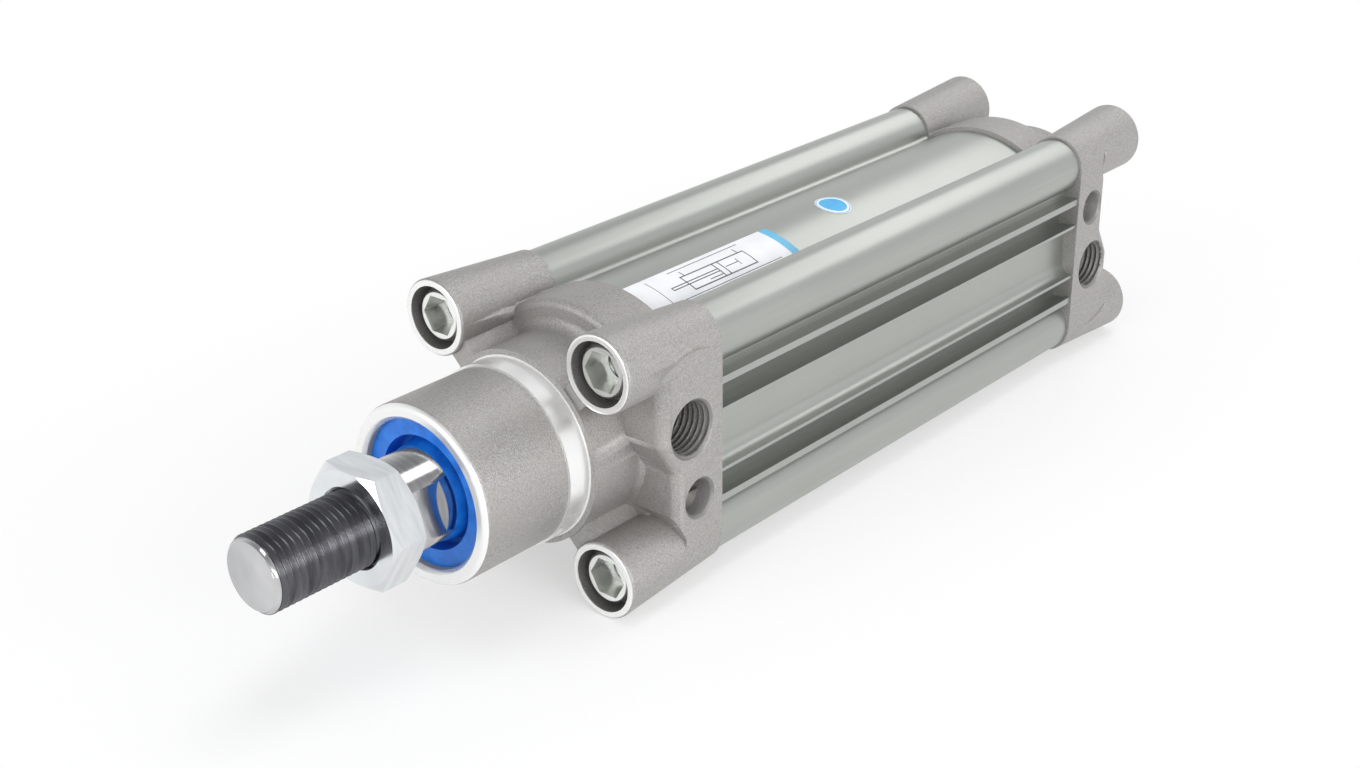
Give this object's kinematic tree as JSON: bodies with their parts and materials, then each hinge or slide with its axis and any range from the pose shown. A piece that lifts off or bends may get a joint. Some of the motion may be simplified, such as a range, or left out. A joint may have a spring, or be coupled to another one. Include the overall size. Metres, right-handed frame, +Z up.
{
  "type": "single rod pneumatic cylinder",
  "caption": "Double-acting single rod pneumatic cylinder in a grooved aluminium profile barrel with cast end caps, threaded rod and lock nut.",
  "frame": {"origin": "rod axis where it crosses the front mounting plane (faces of the front cap bosses)", "axes": "+X out along the rod, +Y towards the ports, +Z up; in mm in the source, metres here"},
  "size_m": [0.275, 0.0636, 0.0636],
  "materials": {
    "cast_cap": "blasted die casting",
    "barrel_skin": "satin anodised extrusion",
    "zinc_screw": "bright zinc plate",
    "zinc_nut": "bright zinc plate",
    "rod_chrome": "ground hard chrome",
    "valve_steel": "nickel plate",
    "black_bolt": "black oxide",
    "turned_aluminium": "turned",
    "blue_seal": "satin polyurethane",
    "black_rubber": "matt",
    "bush_lining": "dull bronze",
    "guide_plastic": "matt",
    "magnet_compound": "matt",
    "label_film": "satin film",
    "sticker_film": "satin film"
  },
  "bodies": {
    "cylinder": {"profile_barrel": "barrel_skin", "front_cap": "cast_cap", "rear_cap": "cast_cap", "front_cap_screws": "zinc_screw", "rear_cap_screws": "zinc_screw", "rod_wiper": "blue_seal", "rod_bush": "bush_lining", "front_barrel_ring": "black_rubber", "rear_barrel_ring": "black_rubber", "front_cushion_seal": "blue_seal", "rear_cushion_seal": "blue_seal", "barrel_label": "label_film", "round_sticker": "sticker_film"},
    "piston_seals": {"front_piston_seal": "blue_seal", "rear_piston_seal": "blue_seal", "guide_ring": "guide_plastic"},
    "rod": {"piston_rod": "rod_chrome", "piston_front_half": "turned_aluminium", "piston_rear_half": "turned_aluminium", "piston_joint_ring": "black_rubber", "magnet_ring": "magnet_compound", "front_cushion_sleeve": "turned_aluminium", "rear_cushion_sleeve": "turned_aluminium", "piston_bolt": "black_bolt"},
    "nut": {"rod_nut": "zinc_nut"},
    "front_valve_ring": {"front_cushion_screw_ring": "black_rubber"},
    "front_valve": {"front_cushion_screw": "valve_steel"},
    "rear_valve_ring": {"rear_cushion_screw_ring": "black_rubber"},
    "rear_valve": {"rear_cushion_screw": "valve_steel"}
  },
  "joints": [
    {"name": "rod_slide", "type": "slide", "parent": "cylinder", "child": "piston_seals", "axis": [1, 0, 0], "range_m": [0, 0.1]},
    {"name": "rod_turn", "type": "hinge", "parent": "piston_seals", "child": "rod", "pos_m": [-0.153, 0, 0], "axis": [1, 0, 0], "continuous": true},
    {"name": "nut_travel", "type": "slide", "parent": "rod", "child": "nut", "axis": [1, 0, 0], "range_m": [0, 0.0236]},
    {"name": "front_valve_lift", "type": "slide", "parent": "cylinder", "child": "front_valve_ring", "axis": [0, 1, 0], "range_m": [0, 0.0024]},
    {"name": "front_valve_turn", "type": "hinge", "parent": "front_valve_ring", "child": "front_valve", "pos_m": [-0.0221, 0.0265, -0.0103], "axis": [0, 1, 0], "range_deg": [0, 1080]},
    {"name": "rear_valve_lift", "type": "slide", "parent": "cylinder", "child": "rear_valve_ring", "axis": [0, 1, 0], "range_m": [0, 0.0024]},
    {"name": "rear_valve_turn", "type": "hinge", "parent": "rear_valve_ring", "child": "rear_valve", "pos_m": [-0.1839, 0.0265, 0.0103], "axis": [0, 1, 0], "range_deg": [0, 1080]}
  ],
  "couplings": [
    {"joint": "front_valve_turn", "follows": "front_valve_lift", "rad_per_m": 7854},
    {"joint": "rear_valve_turn", "follows": "rear_valve_lift", "rad_per_m": 7854}
  ]
}
